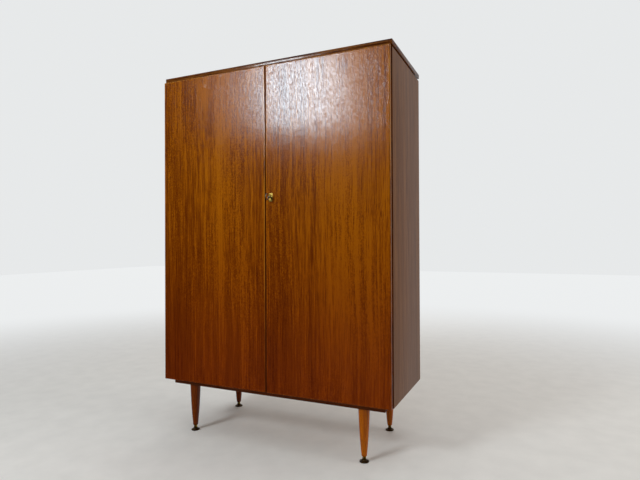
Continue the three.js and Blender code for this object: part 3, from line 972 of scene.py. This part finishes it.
footShape = {
    "disc": ((0.0, 0.0), (0.0182, 0.0), (0.0200, 0.0006), (0.0209, 0.0019), (0.0209, 0.0034),
             (0.0199, 0.0050), (0.0180, 0.0060), (0.0150, 0.0067), (0.0125, 0.0078), (0.0108, 0.0094),
             (0.0098, 0.0112), (0.0094, 0.0134), (0.0, 0.0134)),
    "nutRadius": 0.0085,
    "nutStart": 0.0128,
    "nutEnd": 0.0254,
    "nutEdge": 0.0007,
    "studRadius": 0.0040,
    "threadDepth": 0.0006,
    "threadPitch": 0.0016,
    "studEnd": 0.054,
}


def makeLeg(node):
    low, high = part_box(node)
    centre = (low + high) / 2
    rounding = legShape["rounding"]
    start = Vector((legShape["endRadius"], low.z))
    belly = Vector((legShape["bellyRadius"], low.z + legShape["bellyRise"]))
    top = Vector((legShape["topRadius"], high.z))
    boreEnd = low.z + legShape["boreDepth"]
    profile = [(0, boreEnd), (legShape["boreRadius"], boreEnd), (legShape["boreRadius"], low.z)]
    profile.append((start.x - rounding, low.z))
    curveSpan = legShape["curveEnd"] - legShape["curveStart"]
    for step in range(legShape["curveSteps"] + 1):
        share = legShape["curveStart"] + curveSpan * step / legShape["curveSteps"]
        point = start.lerp(belly, share).lerp(belly.lerp(top, share), share)
        profile.append((point.x, point.y))
    profile += [(top.x - rounding, high.z), (0, high.z)]
    leg = turnedAlong(profile, (centre.x, centre.y, 0), (0, 0, 1), steps=legShape["steps"])
    finishPiece(node + "_turned", leg, [legWood], node)


def threadedStud():
    # rings stand for the thread, which stays inside the leg until the foot is screwed out
    outer = footShape["studRadius"]
    inner = outer - footShape["threadDepth"]
    height = footShape["nutEnd"]
    profile = [(0, height - millimetre)]
    while height < footShape["studEnd"] - footShape["threadPitch"]:
        profile += [(inner, height), (outer, height + footShape["threadPitch"] / 2)]
        height += footShape["threadPitch"]
    profile += [(inner, footShape["studEnd"]), (0, footShape["studEnd"])]
    return turnedShape(profile, steps=20)


def makeFoot(node):
    low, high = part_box(node)
    centre = (low + high) / 2
    bm = turnedShape(footShape["disc"])
    nut = bmesh.new()
    nutHeight = footShape["nutEnd"] - footShape["nutStart"]
    bmesh.ops.create_cone(nut, cap_ends=True, segments=6, radius1=footShape["nutRadius"],
                          radius2=footShape["nutRadius"], depth=nutHeight)
    softenEdges(nut, nut.edges[:], footShape["nutEdge"])
    nutMiddle = footShape["nutStart"] + nutHeight / 2
    addPart(bm, nut, Matrix.Translation((0, 0, nutMiddle)), material=1)
    addPart(bm, threadedStud(), material=1)
    bmesh.ops.translate(bm, vec=(centre.x, centre.y, low.z), verts=bm.verts)
    finishPiece(node + "_turned", bm, [metals["agedBronze"], metals["wornBrass"]], node)


# Lift-off hinges

hingeShape = {
    "leafThickness": 0.0014,
    "knuckleRadius": 0.0035,
    "pinRadius": 0.0017,
    "boreRadius": 0.0020,
    "plateStart": 0.0045,   # from the axis
    "frameLeafWidth": 0.012,
    "doorLeafWidth": 0.022,
    "gap": 0.0003,
    "pinEndInset": 0.004,
    "boreEndInset": 0.003,
    "cornerRadius": 0.0018,
    "edge": 0.0003,
    "tongueOverlap": 0.002,
    "knuckleChamfer": 0.0005,
    "pinChamfer": 0.0006,
    "screwRadius": 0.0026,
    "screwRows": (-0.022, 0.0, 0.022),
    "screwShift": 0.003,    # to and fro, on the door leaf only
}


def hingeLeaf(side, level, isDoor):
    node = f"hinge_{side}_{level}_{'door' if isDoor else 'frame'}_leaf"
    low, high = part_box(node)
    axis = jointPlaces[f"door_{side}_hinge"]
    middle = (low.z + high.z) / 2
    sign = sides[side]
    width = hingeShape["doorLeafWidth" if isDoor else "frameLeafWidth"]
    plateLow = low.y if isDoor else high.y - hingeShape["leafThickness"]
    plateHigh = plateLow + hingeShape["leafThickness"]
    start = axis.x - sign * hingeShape["plateStart"]
    end = axis.x - sign * width
    bottom = middle + hingeShape["gap"] if isDoor else low.z
    top = high.z if isDoor else middle - hingeShape["gap"]

    bm = roundedPlate((start, plateLow, low.z), (end, plateHigh, high.z), 1,
                      hingeShape["cornerRadius"], hingeShape["edge"])
    tongue = bmesh.new()
    tongueEnd = start - sign * hingeShape["tongueOverlap"]
    blockBetween(tongue, (axis.x, plateLow, bottom), (tongueEnd, plateHigh, top))
    softenEdges(tongue, tongue.edges[:], hingeShape["edge"])
    addPart(bm, tongue)
    knuckle = softBar(hingeShape["knuckleRadius"], top - bottom, hingeShape["knuckleChamfer"])
    if isDoor:
        bore = hingeShape["boreRadius"]
        boreEnd = top - bottom - hingeShape["boreEndInset"]
        knuckle = [(0, boreEnd), (bore, boreEnd), (bore, 0)] + knuckle[1:]
    else:
        pinStart = low.z + millimetre
        pinLength = high.z - hingeShape["pinEndInset"] - pinStart
        pin = softBar(hingeShape["pinRadius"], pinLength, hingeShape["pinChamfer"])
        addPart(bm, turnedAlong(pin, (axis.x, axis.y, pinStart), (0, 0, 1), steps=20))
    addPart(bm, turnedAlong(knuckle, (axis.x, axis.y, bottom), (0, 0, 1), steps=28))

    outward = 1 if isDoor else -1
    face = plateHigh if isDoor else plateLow
    turns = random.Random(node)
    for number, rise in enumerate(hingeShape["screwRows"]):
        shift = hingeShape["screwShift"] * (-1) ** number if isDoor else 0
        head = screwHead(hingeShape["screwRadius"], turns.uniform(0, math.pi))
        place = ((start + end) / 2 + shift, face, middle + rise)
        addPart(bm, head, Matrix.Translation(place) @ facing((0, outward, 0)), material=1)
    finishPiece(node + "_pressed", bm, [metals["agedBronze"], metals["screwSteel"]], node)


# Lock: escutcheon, case, bolt, key and strike plate

escutcheonShape = {
    "bevel": 0.0005,
    "frontDepth": 0.0002,    # edges this near the front are bevelled
    "rimRadius": 0.0062,
    "rimBand": 0.0007,       # half the rim's width
    "rimCrest": 0.7,         # parts of it, for the flat crest and the rise
    "rimRise": 0.8,
    "pinRise": 0.0155,       # of its pins from the key's axis
    "pin": ((0, -0.0004), (0.0013, -0.0004), (0.0014, 0.0001), (0.0010, 0.0006), (0, 0.0008)),
}

lockShape = {
    "edge": 0.0004,
    "boltEdge": 0.0003,
    "earHeight": 0.011,
    "earInset": 0.005,
    "earThickness": 0.0015,
    "earOverlap": 0.0005,
    "earCorner": 0.003,
    "earEdge": 0.0003,
    "boss": ((0, 0.0006), (0.0022, 0.0006), (0.0026, 0.0012), (0.0055, 0.0011), (0.0065, 0.0004),
             (0.0065, -0.0004), (0, -0.0004)),
    "rivet": ((0, 0.0008), (0.0010, 0.0007), (0.0018, 0.0001), (0.0018, -0.0003), (0, -0.0003)),
    "rivetInset": 0.008,
    "leftRivetInset": 0.006,
    "screwInset": 0.011,
    "screwRadius": 0.0029,
    "strikeScrewInset": (0.009, 0.010),  # from the plate's rear edge and from its ends
}

keyShape = {
    "bandHalfWidth": 0.0023,
    "bandHalfThickness": 0.0016,
    "bowHalfOpening": 0.0107,
    "shankRadius": 0.0030,
    "rings": ((0, 0), (0.00345, 0), (0.00345, 0.0030), (0.00396, 0.0034), (0.00396, 0.0046),
              (0.0030, 0.0052), (0.0030, 0.0060), (0.0044, 0.0064), (0.0044, 0.0086), (0.0030, 0.0093)),
    "noseRadius": 0.0018,
    "noseRounding": (0.0012, 0.0002),
    "bitHalfThickness": 0.0010,
    "bitTop": 0.0015,        # of the bit below the key's axis
    "bitLength": 0.0055,
    "bitDrop": 0.009,
    "bitInset": 0.0003,      # from the key's nose
    "bitEdge": 0.00015,
    "wardWidth": 0.0010,
    "wardDepth": 0.0032,
    "stepWidth": 0.0014,
    "stepDepth": 0.0018,
}


def makeEscutcheon():
    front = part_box("escutcheon")[0].y
    axis = jointPlaces["key_turn"]
    bm = nodeCopy("escutcheon")
    limit = front + escutcheonShape["frontDepth"]
    frontEdges = [edge for edge in sharpEdges(bm) if all(vert.co.y < limit for vert in edge.verts)]
    softenEdges(bm, frontEdges, escutcheonShape["bevel"])
    radius, band = escutcheonShape["rimRadius"], escutcheonShape["rimBand"]
    crest, rise = band * escutcheonShape["rimCrest"], band * escutcheonShape["rimRise"]
    rim = [(radius - band, 0), (radius - crest, rise), (radius + crest, rise),
           (radius + band, 0), (radius + band, -band / 2), (radius - band, -band / 2)]
    addPart(bm, turnedAlong(rim, (axis.x, front, axis.z), (0, -1, 0), steps=48, closed=True))
    for z in (axis.z - escutcheonShape["pinRise"], axis.z + escutcheonShape["pinRise"]):
        addPart(bm, turnedAlong(escutcheonShape["pin"], (axis.x, front, z), (0, -1, 0), steps=20))
    finishPiece("escutcheon_stamped", bm, [metals["wornBrass"]], "escutcheon")


def lockEars(low, high):
    # two lugs behind the case, above and below it
    height, overlap = lockShape["earHeight"], lockShape["earOverlap"]
    near, far = low.x + lockShape["earInset"], high.x - lockShape["earInset"]
    ears = bmesh.new()
    for bottom, top in ((low.z - height, low.z + overlap), (high.z - overlap, high.z + height)):
        ear = roundedPlate((near, low.y, bottom), (far, low.y + lockShape["earThickness"], top), 1,
                           lockShape["earCorner"], lockShape["earEdge"])
        addPart(ears, ear)
    return ears


def makeLockCase():
    low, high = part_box("lock_case")
    axis = jointPlaces["key_turn"]
    bm = nodeCopy("lock_case")
    softenEdges(bm, sharpEdges(bm), lockShape["edge"])
    addPart(bm, lockEars(low, high))
    addPart(bm, turnedAlong(lockShape["boss"], (axis.x, high.y, axis.z), (0, 1, 0)))
    inset = lockShape["rivetInset"]
    for x, z in ((high.x - inset, high.z - inset), (high.x - inset, low.z + inset),
                 (low.x + lockShape["leftRivetInset"], low.z + inset)):
        addPart(bm, turnedAlong(lockShape["rivet"], (x, high.y, z), (0, 1, 0), steps=18), material=1)
    finishPiece("lock_case_pressed", bm, [metals["nickelPlate"], metals["screwSteel"]], "lock_case")
    screwY = low.y + lockShape["earThickness"]
    screwRise = lockShape["earHeight"] / 2
    places = []
    for x in (low.x + lockShape["screwInset"], high.x - lockShape["screwInset"]):
        places += [(x, screwY, low.z - screwRise), (x, screwY, high.z + screwRise)]
    addScrews("lock_case_screws", places, (0, 1, 0), lockShape["screwRadius"], "lock_case")


def makeBolt():
    bm = nodeCopy("lock_bolt")
    softenEdges(bm, sharpEdges(bm), lockShape["boltEdge"])
    finishPiece("lock_bolt_filed", bm, [metals["wornBrass"]], "lock_bolt")


def keyBow(halfHeight, halfLength, centreY):
    # a flattened ring spun about X, then drawn in along the key to an oval
    bm = bmesh.new()
    ring = bmesh.ops.create_circle(bm, segments=16, radius=1)["verts"]
    bmesh.ops.rotate(bm, cent=(0, 0, 0), matrix=Matrix.Rotation(math.pi / 2, 3, "X"), verts=ring)
    bmesh.ops.scale(bm, vec=(keyShape["bandHalfThickness"], 1, keyShape["bandHalfWidth"]), verts=ring)
    bmesh.ops.translate(bm, vec=(0, 0, halfHeight - keyShape["bandHalfWidth"]), verts=ring)
    bmesh.ops.spin(bm, geom=bm.verts[:] + bm.edges[:], cent=(0, 0, 0), axis=(1, 0, 0), dvec=(0, 0, 0),
                   angle=math.tau, steps=64, use_merge=True, use_duplicate=False)
    closeSeam(bm)
    bmesh.ops.scale(bm, vec=(1, halfLength / halfHeight, 1), verts=bm.verts)
    bmesh.ops.translate(bm, vec=(0, centreY, 0), verts=bm.verts)
    return bm


def keyBit(endY):
    # outline of the bit from the side, with a ward slit and a stepped corner
    start = endY - keyShape["bitLength"]
    top, foot = -keyShape["bitTop"], -keyShape["bitDrop"]
    slit = (start + endY) / 2
    half = keyShape["wardWidth"] / 2
    slitTop = foot + keyShape["wardDepth"]
    stepEnd = start + keyShape["stepWidth"]
    stepTop = foot + keyShape["stepDepth"]
    outline = ((start, top), (endY, top), (endY, foot), (slit + half, foot), (slit + half, slitTop),
               (slit - half, slitTop), (slit - half, foot), (stepEnd, foot), (stepEnd, stepTop),
               (start, stepTop))
    bm = bmesh.new()
    face = bm.faces.new([bm.verts.new((-keyShape["bitHalfThickness"], y, z)) for y, z in outline])
    moved = extruded(bm, [face])
    bmesh.ops.translate(bm, vec=(2 * keyShape["bitHalfThickness"], 0, 0), verts=moved)
    bmesh.ops.recalc_face_normals(bm, faces=bm.faces)
    softenEdges(bm, sharpEdges(bm), keyShape["bitEdge"])
    return bm


def makeKey():
    # worked out along the key from the door's face, then moved to its axis
    low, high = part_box("key")
    axis = jointPlaces["key_turn"]
    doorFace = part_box("door_right_panel")[0].y
    halfHeight = high.z - axis.z
    halfLength = keyShape["bandHalfWidth"] + keyShape["bowHalfOpening"]
    bowCentre = low.y - doorFace + halfLength
    nose = high.y - doorFace
    bm = keyBow(halfHeight, halfLength, bowCentre)
    start = bowCentre + halfLength - keyShape["bandHalfWidth"]
    length = nose - start
    roundingStart, roundingEnd = keyShape["noseRounding"]
    profile = list(keyShape["rings"])
    profile += [(keyShape["shankRadius"], length - roundingStart),
                (keyShape["noseRadius"], length - roundingEnd), (0, length)]
    addPart(bm, turnedAlong(profile, (0, start, 0), (0, 1, 0), steps=32))
    addPart(bm, keyBit(nose - keyShape["bitInset"]))
    bmesh.ops.translate(bm, vec=(axis.x, doorFace, axis.z), verts=bm.verts)
    finishPiece("key_filed", bm, [metals["nickelPlate"]], "key")


def makeStrikePlate():
    low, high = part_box("strike_plate")
    bm = nodeCopy("strike_plate")
    softenEdges(bm, sharpEdges(bm), lockShape["edge"])
    finishPiece("strike_plate_pressed", bm, [metals["wornBrass"]], "strike_plate")
    rearInset, endInset = lockShape["strikeScrewInset"]
    places = [(high.x, high.y - rearInset, z) for z in (low.z + endInset, high.z - endInset)]
    addScrews("strike_plate_screws", places, (1, 0, 0), lockShape["screwRadius"], "strike_plate")


# Magnetic catch: moulded housing with two pole plates, and a plate on the left door

catchShape = {
    "rounding": 0.0010,
    "earHeight": 0.006,
    "earThickness": 0.0032,
    "earSetBack": 0.010,     # of the ears behind the front of the pole plates
    "earCorner": 0.0020,
    "earEdge": 0.0004,
    "recess": 0.0022,        # of the housing behind the front of the pole plates
    "poleThickness": 0.0015,
    "poleInset": 0.0030,
    "poleDepth": 0.006,
    "poleEndInset": 0.010,
    "poleEdge": 0.0003,
    "screwRadius": 0.0022,
    "plateCorner": 0.003,
    "plateEdge": 0.0003,
    "plateScrewRadius": 0.0024,
}


def catchHousing(low, high):
    ear = catchShape["earHeight"]
    front = low.y + catchShape["recess"]
    housing = bmesh.new()
    blockBetween(housing, (low.x, front, low.z + ear), (high.x, high.y, high.z - ear))
    softenEdges(housing, housing.edges[:], catchShape["rounding"], segments=3)
    earLow = (high.x - catchShape["earThickness"], low.y + catchShape["earSetBack"])
    for bottom, top in ((low.z, low.z + ear + millimetre), (high.z - ear - millimetre, high.z)):
        lug = roundedPlate((*earLow, bottom), (high.x, high.y, top), 0,
                           catchShape["earCorner"], catchShape["earEdge"])
        addPart(housing, lug)
    return housing


def polePlate(x, low, high):
    half = catchShape["poleThickness"] / 2
    inset = catchShape["poleEndInset"]
    pole = bmesh.new()
    rear = low.y + catchShape["poleDepth"]
    blockBetween(pole, (x - half, low.y, low.z + inset), (x + half, rear, high.z - inset))
    softenEdges(pole, pole.edges[:], catchShape["poleEdge"])
    return pole


def makeCatch():
    low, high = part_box("magnetic_catch")
    bm = catchHousing(low, high)
    for x in (low.x + catchShape["poleInset"], high.x - catchShape["poleInset"]):
        addPart(bm, polePlate(x, low, high), material=1)
    finishPiece("magnetic_catch_moulded", bm, [ivoryPlastic, metals["nickelPlate"]], "magnetic_catch")
    screwX = high.x - catchShape["earThickness"]
    screwY = (low.y + catchShape["earSetBack"] + high.y) / 2
    screwInset = catchShape["earHeight"] / 2
    places = [(screwX, screwY, z) for z in (low.z + screwInset, high.z - screwInset)]
    addScrews("magnetic_catch_screws", places, (-1, 0, 0), catchShape["screwRadius"], "magnetic_catch")


def makeCatchPlate():
    low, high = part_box("catch_plate")
    catchLow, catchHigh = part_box("magnetic_catch")
    bm = roundedPlate(low, high, 1, catchShape["plateCorner"], catchShape["plateEdge"])
    finishPiece("catch_plate_pressed", bm, [metals["nickelPlate"]], "catch_plate")
    place = ((catchLow.x + catchHigh.x) / 2, high.y, (low.z + high.z) / 2)
    addScrews("catch_plate_screw", [place], (0, 1, 0), catchShape["plateScrewRadius"], "catch_plate")


# Clothes rail and its sockets

railShape = {
    "wall": 0.0015,
    "flangeThickness": 0.003,
    "flange": ((0.0, 0.0), (0.0222, 0.0), (0.0230, 0.0008), (0.0229, 0.0019), (0.0220, 0.0030),
               (0.0166, 0.0030), (0.0152, 0.0036), (0.0145, 0.0048), (0.0145, 0.0140), (0.0138, 0.0149),
               (0.0122, 0.0149), (0.0113, 0.0142), (0.0113, 0.0040), (0.0, 0.0040)),
    "endRounding": 0.0004,
    "screwCircle": 0.0192,
    "screwTurns": (90, 210, 330),
    "screwRadius": 0.0024,
}


def makeClothesRail():
    low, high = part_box("clothes_rail")
    centre = (low + high) / 2
    radius = (high.z - low.z) / 2
    inner = radius - railShape["wall"]
    length = high.x - low.x
    rounding = railShape["endRounding"]
    profile = [(inner, 0), (radius - rounding, 0), (radius, rounding), (radius, length - rounding),
               (radius - rounding, length), (inner, length)]
    tube = turnedAlong(profile, (low.x, centre.y, centre.z), (1, 0, 0), steps=48, closed=True)
    finishPiece("clothes_rail_tube", tube, [metals["railChrome"]], "clothes_rail")


def makeRailSocket(side):
    node = "rail_socket_" + side
    sign = sides[side]
    low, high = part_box(node)
    railLow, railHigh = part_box("clothes_rail")
    centre = (railLow + railHigh) / 2
    inward = (-sign, 0, 0)
    wallX = high.x if sign > 0 else low.x
    socket = turnedAlong(railShape["flange"], (wallX, centre.y, centre.z), inward, steps=48)
    finishPiece(node + "_turned", socket, [metals["nickelPlate"]], node)
    screwX = wallX - sign * railShape["flangeThickness"]
    circle = railShape["screwCircle"]
    places = []
    for turn in railShape["screwTurns"]:
        angle = math.radians(turn)
        places.append((screwX, centre.y + circle * math.cos(angle), centre.z + circle * math.sin(angle)))
    addScrews(node + "_screws", places, inward, railShape["screwRadius"], node)


# Fixings of the carcass

cleatFixing = {
    "screwRadius": 0.0034,
    "screwPlaces": (0.12, 0.5, 0.88),  # parts of the cleat's depth
}

backFixing = {
    "edge": 0.008,           # of the nails from the panel's edge
    "spacing": 0.105,
    "headRadii": (0.0024, 0.0018),
    "headHeight": 0.0008,
    "headSides": 8,
}


def addCleatScrews():
    for shelf in shelves:
        for side, sign in sides.items():
            node = f"{shelf}_cleat_{side}"
            low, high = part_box(node)
            x = low.x if sign > 0 else high.x
            middle = (low.z + high.z) / 2
            depth = high.y - low.y
            places = [(x, low.y + depth * share, middle) for share in cleatFixing["screwPlaces"]]
            addScrews(node + "_screws", places, (-sign, 0, 0), cleatFixing["screwRadius"], node)


def backNailPlaces():
    # round the back panel and up the divider
    low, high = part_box("back_panel")
    dividerLow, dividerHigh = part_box("centre_divider")
    edge, spacing = backFixing["edge"], backFixing["spacing"]
    left, right, bottom, top = low.x + edge, high.x - edge, low.z + edge, high.z - edge
    rows = round((top - bottom) / spacing)
    columns = round((right - left) / spacing)
    places = []
    for row in range(rows + 1):
        z = bottom + row * (top - bottom) / rows
        places += [(x, high.y, z) for x in (left, (dividerLow.x + dividerHigh.x) / 2, right)]
    for column in range(1, columns):
        x = left + column * (right - left) / columns
        places += [(x, high.y, z) for z in (bottom, top)]
    return places


def addBackNails():
    wide, narrow = backFixing["headRadii"]
    bm = bmesh.new()
    for place in backNailPlaces():
        nail = bmesh.new()
        bmesh.ops.create_cone(nail, cap_ends=True, segments=backFixing["headSides"], radius1=wide,
                              radius2=narrow, depth=backFixing["headHeight"])
        addPart(bm, nail, Matrix.Translation(place) @ facing((0, 1, 0)))
    finishPiece("back_panel_nails", bm, [metals["screwSteel"]], "back_panel", replaced=False)


print("wardrobe: legs and feet")
for end in ("front", "rear"):
    for side in sides:
        makeLeg(f"leg_{end}_{side}")
        makeFoot(f"levelling_foot_{end}_{side}")

print("wardrobe: hinges, lock, catch and rail")
for side in sides:
    for level in ("bottom", "middle", "top"):
        hingeLeaf(side, level, isDoor=False)
        hingeLeaf(side, level, isDoor=True)
makeEscutcheon()
makeLockCase()
makeBolt()
makeKey()
makeStrikePlate()
makeCatch()
makeCatchPlate()
makeClothesRail()
for side in sides:
    makeRailSocket(side)
addCleatScrews()
addBackNails()

print("wardrobe: studio")
addCamera()
addFloor()
addBackdrop()
for lampName, lampFacts in lamps.items():
    addLamp(lampName, lampFacts)
bpy.context.scene.view_settings.view_transform = "Standard"
bpy.context.scene.view_settings.exposure = studio["exposure"]
